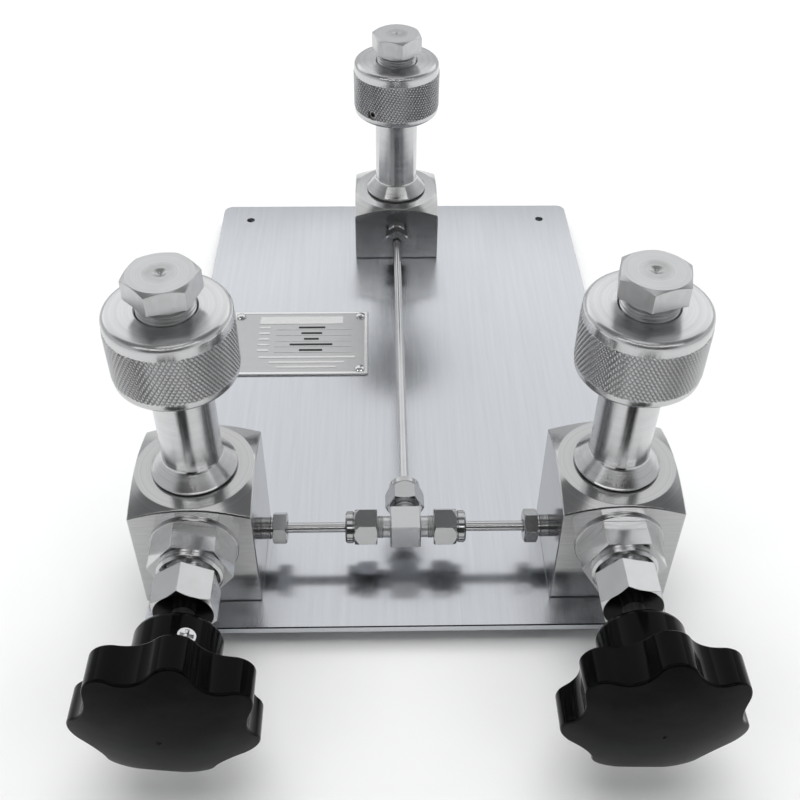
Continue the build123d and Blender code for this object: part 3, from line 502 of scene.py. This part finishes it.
paint(["base_plate"], plate_steel())
station_blocks = {"left": "front_left_block", "right": "front_right_block", "rear": "rear_block"}
for station, block_name in station_blocks.items():
    paint([block_name], block_steel("block_steel_" + station, post_axis[station]))
nut_finish = {}
for station in STATIONS:
    centre = post_axis[station]
    paint([station + "_post"], turned_steel("post_steel_" + station, centre, "Z", 0.66, 0.2))
    paint([station + "_plug"], plug_steel("plug_steel_" + station, centre))
    nut_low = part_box(station + "_nut")[0].z
    nut_finish[station] = knurled_steel(
        "nut_steel_" + station,
        centre,
        nut_low + KNURL_FOOT * MM,
        nut_low + (NUT_HEIGHT - KNURL_HEAD) * MM,
    )
    paint([station + "_nut"], nut_finish[station])
    paint([station + "_nut_screws"], satin_steel("nut_screw_steel_" + station, 0.3, 0.3))
for side in SIDES:
    centre = valve_axis[side]
    paint([side + "_bonnet"], satin_steel("bonnet_steel_" + side, 0.62, 0.16))
    # the packing nut's front end gets painted shade and a painted reflection of the black knob hub
    paint([side + "_packing_nut"], satin_steel("packing_steel_" + side, 0.6, 0.18, painted_hub_shade_tone=0.05))
    # the stems and needles are given a dark steel tone, 0.25
    paint([side + "_stem", side + "_needle"], turned_steel("stem_steel_" + side, centre, "Y", 0.25, 0.3))
    paint([side + "_knob"], black_phenolic("black_phenolic_" + side))
    paint([side + "_knob_bush"], soft_plain("bush_brass_" + side, (0.7, 0.5, 0.22, 1), 0.3, 1.0))
    paint([side + "_knob_screw"], satin_steel("bright_screw_" + side, 0.75, 0.2))
paint(["bonnet_washers"], satin_steel("washer_steel", 0.55, 0.15))
paint(["tee_body"], satin_steel("tee_steel", 0.68, 0.42))
paint(["tee_nuts"], satin_steel("tee_nut_steel", 0.5, 0.16))
paint(["gland_nuts"], satin_steel("gland_nut_steel", 0.5, 0.2))
paint(["left_tube", "right_tube", "rear_tube"], satin_steel("tube_steel", 0.6, 0.2))
inner_pieces = ["tee_ferrules", "gland_ferrules", "valve_seats", "packing_followers"]
paint(inner_pieces, satin_steel("inner_steel", 0.5, 0.3))
paint(["block_screws", "foot_screws", "drill_plugs"], satin_steel("screw_steel", 0.45, 0.3))
paint(["nameplate_rivets"], satin_steel("rivet_steel", 0.75, 0.1))
paint(["nameplate"], satin_steel("nameplate_metal", 0.62, 0.4))
paint(["rubber_feet"], soft_plain("foot_rubber", (0.02, 0.02, 0.02, 1), 0.7))
paint(["post_gaskets", "port_seals", "packing_rings"], soft_plain("seal_ptfe", (0.7, 0.7, 0.68, 1), 0.5))


# ---------------------------------------------------------------- knurled hand nuts
def knurl_point(first, second, radius):
    """Point of the knurl where the two groove counts have these values."""
    area = RIGHT_STARTS * LEFT_LEAD + LEFT_STARTS * RIGHT_LEAD
    turn = 2 * math.pi * (LEFT_LEAD * first + RIGHT_LEAD * second) / area
    height = (LEFT_STARTS * first - RIGHT_STARTS * second) / area
    return Vector((radius * math.cos(turn), radius * math.sin(turn), height))


def knurl_band(bm, low, high):
    """Diamond knurl: two families of crossing grooves, built a little too tall and cut at two heights."""
    area = RIGHT_STARTS * LEFT_LEAD + LEFT_STARTS * RIGHT_LEAD
    corners = {}

    def corner(first, second):
        turns = math.floor((LEFT_LEAD * first + RIGHT_LEAD * second) / area + 1e-9)
        key = (first - turns * RIGHT_STARTS, second - turns * LEFT_STARTS)
        if key not in corners:
            corners[key] = bm.verts.new(knurl_point(key[0], key[1], KNURL_TIP - KNURL_DEPTH))
        return corners[key]

    near = (1 - KNURL_FLAT) / 2
    far = 1 - near
    last_first = RIGHT_STARTS + int(RIGHT_LEAD * (high + KNURL_SPARE)) + KNURL_SPARE
    lowest_second = -int(LEFT_LEAD * (high + KNURL_SPARE)) - KNURL_SPARE
    for first in range(last_first):
        for second in range(lowest_second, LEFT_STARTS):
            spot = knurl_point(first + 0.5, second + 0.5, 1.0)
            turns = (LEFT_LEAD * (first + 0.5) + RIGHT_LEAD * (second + 0.5)) / area
            if not 0 <= turns < 1 or not low - KNURL_SPARE < spot.z < high + KNURL_SPARE:
                continue
            base = [
                corner(first, second),
                corner(first + 1, second),
                corner(first + 1, second + 1),
                corner(first, second + 1),
            ]
            tip = [
                bm.verts.new(knurl_point(first + a, second + b, KNURL_TIP))
                for a, b in ((near, near), (far, near), (far, far), (near, far))
            ]
            bm.faces.new(tip)
            for index in range(4):
                after = (index + 1) % 4
                bm.faces.new((base[index], base[after], tip[after], tip[index]))
    for height, outward in ((low, -1), (high, 1)):
        bmesh.ops.bisect_plane(
            bm,
            geom=bm.verts[:] + bm.edges[:] + bm.faces[:],
            plane_co=(0, 0, height),
            plane_no=(0, 0, outward),
            clear_outer=True,
            dist=1e-5,
        )


def border_loop(bm, height):
    """Vertices of the open knurl border at a height."""
    found = set()
    for edge in bm.edges:
        if len(edge.link_faces) == 1 and all(abs(v.co.z - height) < 1e-3 for v in edge.verts):
            found.update(edge.verts)
    return list(found)


def hand_nut(station):
    """Hand nut with a cut diamond knurl, built in millimetres and moved onto its post."""
    low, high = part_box(station + "_nut")
    centre = post_axis[station]
    bm = bmesh.new()
    knurl_low = KNURL_FOOT
    knurl_high = NUT_HEIGHT - KNURL_HEAD
    knurl_band(bm, knurl_low, knurl_high)
    foot_loop = border_loop(bm, knurl_low)
    head_loop = border_loop(bm, knurl_high)
    step = KNURL_TIP - NUT_BAND
    foot = [(NUT_BAND, knurl_low - step)]
    foot += arc(NUT_BAND - NUT_FOOT_ROUND, NUT_FOOT_ROUND, NUT_FOOT_ROUND, 0, -90, 8)
    foot += [(NUT_BORE, 0.0), (NUT_BORE, NUT_SHELF), (NUT_THREAD, NUT_SHELF)]
    foot_rings = [ring(bm, r, z, ROUND_STEPS) for r, z in foot]
    head = [(NUT_BAND, knurl_high + step)]
    head += arc(NUT_BAND - NUT_RIM_ROUND, NUT_HEIGHT - NUT_RIM_ROUND, NUT_RIM_ROUND, 0, 90, 10)
    head += [(NUT_MOUTH, NUT_HEIGHT), (NUT_THREAD, NUT_HEIGHT - 0.7)]
    head_rings = [ring(bm, r, z, ROUND_STEPS) for r, z in head]
    zip_loops(bm, foot_loop, foot_rings[0])
    zip_loops(bm, head_loop, head_rings[0])
    for rings in (foot_rings, head_rings):
        for first, second in zip(rings, rings[1:]):
            skin(bm, first, second)
    skin(bm, foot_rings[-1], head_rings[-1])
    mesh = mesh_from(bm, station + "_hand_nut_mesh")
    placed(mesh, Matrix.Translation((centre.x, centre.y, low.z)) @ Matrix.Scale(MM, 4))
    drills = []
    for hole, direction in nut_screw_lines(station):
        drills.append((hole, direction, NUT_SCREW_RADIUS * MM, KNURL_TIP * MM))
    mesh = drilled(mesh, drills)
    piece = add_object(station + "_knurled_nut", mesh, station + "_hand_nut", nut_finish[station], 24)
    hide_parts(station + "_nut")


def nut_screw_lines(station):
    """Starts and directions of a nut's cross holes, from the middles of its set screws."""
    node = nodes[station + "_nut_screws"]
    centre = post_axis[station]
    angles = {}
    for vertex in node.data.vertices:
        spot = node.matrix_world @ vertex.co
        turn = math.degrees(math.atan2(spot.y - centre.y, spot.x - centre.x)) % 360
        for known in angles:
            if abs((turn - known + 180) % 360 - 180) < NUT_SCREW_SPAN_DEGREES:
                angles[known].append(spot)
                break
        else:
            angles[turn] = [spot]
    lines = []
    for spots in angles.values():
        mean = sum(spots, Vector()) / len(spots)
        direction = Vector((mean.x - centre.x, mean.y - centre.y, 0)).normalized()
        lines.append((Vector((centre.x, centre.y, mean.z)) + direction * NUT_BORE * MM * 0.95, direction))
    return lines


for station in STATIONS:
    hand_nut(station)

# ---------------------------------------------------------------- nameplate: raised border, blank fields
name_low, name_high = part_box("nameplate")
NAME_RAISE = 0.12 * MM
NAME_SINK = 0.05 * MM
NAME_EDGE = 0.5
NAME_RIM = 1.4
ENTRY_MIDDLE = 28.8


def bar(bm, left, front, right, back, bottom, top):
    """Box between two corners, in metres."""
    made = bmesh.ops.create_cube(bm, size=1.0)["verts"]
    size = Vector((right - left, back - front, top - bottom))
    middle_point = Vector(((left + right) / 2, (front + back) / 2, (bottom + top) / 2))
    for vertex in made:
        vertex.co = Vector(a * b for a, b in zip(vertex.co, size)) + middle_point


def name_piece(name, bars, material):
    """Bars given in millimetres from the plate's right and back edges, as one piece."""
    bm = bmesh.new()
    for near_right, far_right, near_back, far_back in bars:
        bar(
            bm,
            name_high.x - far_right * MM,
            name_high.y - far_back * MM,
            name_high.x - near_right * MM,
            name_high.y - near_back * MM,
            name_high.z - NAME_SINK,
            name_high.z + NAME_RAISE,
        )
    add_object(name, mesh_from(bm, name), "stand", material, 30)


def nameplate_print():
    """Raised border, light title bar, ruled lines and plain bars where entries would stand."""
    width = (name_high.x - name_low.x) / MM
    depth = (name_high.y - name_low.y) / MM
    inner = NAME_EDGE + NAME_RIM
    name_piece(
        "nameplate_border",
        [
            (NAME_EDGE, width - NAME_EDGE, NAME_EDGE, inner),
            (NAME_EDGE, width - NAME_EDGE, depth - inner, depth - NAME_EDGE),
            (NAME_EDGE, inner, inner, depth - inner),
            (width - inner, width - NAME_EDGE, inner, depth - inner),
        ],
        printed("border_metal", 0.85, 1.0, 0.25),
    )
    light = [(13.0, 55.6, 4.4, 10.4)]
    rows = (15.0, 19.6, 24.2, 28.6, 33.0)
    for row in rows:
        light.append((8.5, 47.0, row - 0.12, row + 0.12))
        light.append((50.0, 55.5, row - 2.4, row - 0.9))
    for row, inset in ((36.8, 6.6), (40.6, 12.0), (44.2, 16.0)):
        light.append((inset, 61.0 - inset, row - 0.7, row + 0.7))
    name_piece("nameplate_fields", light, printed("field_white", 0.6, 0.0, 0.5))
    dark = []
    for row, length in zip(rows, (13.5, 10.5, 7.5, 21.5, 11.5)):
        dark.append((ENTRY_MIDDLE - length / 2, ENTRY_MIDDLE + length / 2, row - 2.3, row - 1.1))
    name_piece("nameplate_entries", dark, printed("entry_black", 0.03, 0.0, 0.5))


nameplate_print()


# ---------------------------------------------------------------- stage, lights, camera
FLOOR_HALF = 2.5
TENT_GLOW = 0.55
ZENITH_GLOW = 0.2
CAMERA_SHADE = 0.12
LIGHT_TARGET = (0.0, 0.0, 0.05)
CAMERA_PLACE = Vector((-9.54, -350.6, 343.0)) * MM
CAMERA_PITCH = math.radians(-42.592)
CAMERA_YAW = math.radians(1.467)
CAMERA_ROLL = math.radians(0.548)
CAMERA_LENS = 46.62


def plain_floor():
    """Large flat pale floor under the feet."""
    bm = bmesh.new()
    bmesh.ops.create_grid(bm, x_segments=2, y_segments=2, size=FLOOR_HALF)
    floor = bpy.data.objects.new("floor", mesh_from(bm, "floor"))
    floor.data.materials.append(floor_paint())
    scene.collection.objects.link(floor)


def softbox(name, place, width, height, radiance, glossy=True):
    """Rectangular area light aimed at the stand; one that isn't glossy is not seen in the metal."""
    light = bpy.data.lights.new(name, "AREA")
    light.shape = "RECTANGLE"
    light.size = width
    light.size_y = height
    light.energy = radiance * math.pi * width * height
    holder = bpy.data.objects.new(name, light)
    holder.location = place
    aim = Vector(LIGHT_TARGET) - Vector(place)
    holder.rotation_euler = aim.to_track_quat("-Z", "Y").to_euler()
    holder.visible_glossy = glossy
    scene.collection.objects.link(holder)


def around(azimuth, elevation, distance):
    """Point round the stand; azimuth 0 is behind it and 180 in front, in degrees."""
    turn = math.radians(azimuth)
    rise = math.radians(elevation)
    return (
        distance * math.cos(rise) * math.sin(turn),
        distance * math.cos(rise) * math.cos(turn),
        distance * math.sin(rise),
    )


def studio():
    """Wide panel behind, small panel above, two strips in front, a light for the floor, dim tent."""
    softbox("panel_back", around(0, 48, 1.6), 3.8, 1.1, 0.6)
    softbox("zenith", around(180, 80, 1.7), 0.8, 0.72, 0.6)
    softbox("front_left", around(209, 46, 1.6), 1.2, 0.2, 2.2)
    softbox("front_right", around(151, 46, 1.6), 1.2, 0.2, 2.2)
    softbox("overhead", around(0, 80, 1.8), 1.6, 1.6, 2.6, glossy=False)
    light_tent()


def light_tent():
    """Pale tent all round, dark in front and dimmer overhead."""
    world = bpy.data.worlds.new("surround")
    world.use_nodes = True
    tree = world.node_tree
    direction = tree.nodes.new("ShaderNodeTexCoord").outputs["Generated"]

    def toward(place, near, far, low, high):
        """Value that runs from low to high as the direction turns to face a place."""
        dot = tree.nodes.new("ShaderNodeVectorMath")
        dot.operation = "DOT_PRODUCT"
        tree.links.new(direction, dot.inputs[0])
        dot.inputs[1].default_value = Vector(place).normalized()
        spread = tree.nodes.new("ShaderNodeMapRange")
        spread.interpolation_type = "SMOOTHSTEP"
        tree.links.new(dot.outputs["Value"], spread.inputs["Value"])
        for key, value in (("From Min", far), ("From Max", near), ("To Min", low), ("To Max", high)):
            spread.inputs[key].default_value = value
        return spread.outputs[0]

    def times(first, second):
        node = tree.nodes.new("ShaderNodeMath")
        node.operation = "MULTIPLY"
        tree.links.new(first, node.inputs[0])
        tree.links.new(second, node.inputs[1])
        return node.outputs[0]

    camera_dark = toward(around(180, 25, 1.0), 0.93, 0.6, 1.0, CAMERA_SHADE)
    zenith = toward((0.0, 0.0, 1.0), 0.75, 0.35, TENT_GLOW, ZENITH_GLOW)
    background = tree.nodes["Background"]
    tree.links.new(times(camera_dark, zenith), background.inputs["Strength"])
    background.inputs["Color"].default_value = (0.97, 0.985, 1.0, 1.0)
    scene.world = world


def photo_camera():
    """Camera looking down on the stand from the front."""
    level_ahead = Vector((math.sin(CAMERA_YAW), math.cos(CAMERA_YAW), 0.0))
    forward = level_ahead * math.cos(CAMERA_PITCH) + Vector((0.0, 0.0, math.sin(CAMERA_PITCH)))
    level = Vector((math.cos(CAMERA_YAW), -math.sin(CAMERA_YAW), 0.0))
    upright = level.cross(forward)
    right = level * math.cos(CAMERA_ROLL) + upright * math.sin(CAMERA_ROLL)
    up = upright * math.cos(CAMERA_ROLL) - level * math.sin(CAMERA_ROLL)
    data = bpy.data.cameras.new("camera")
    data.sensor_width = 36.0
    data.lens = CAMERA_LENS
    data.clip_start = 0.01
    camera = bpy.data.objects.new("camera", data)
    turn = Matrix((right, up, -forward)).transposed().to_4x4()
    camera.matrix_world = Matrix.Translation(CAMERA_PLACE) @ turn
    scene.collection.objects.link(camera)
    scene.camera = camera


plain_floor()
studio()
photo_camera()
scene.view_settings.view_transform = "Standard"
scene.view_settings.look = "Medium High Contrast"
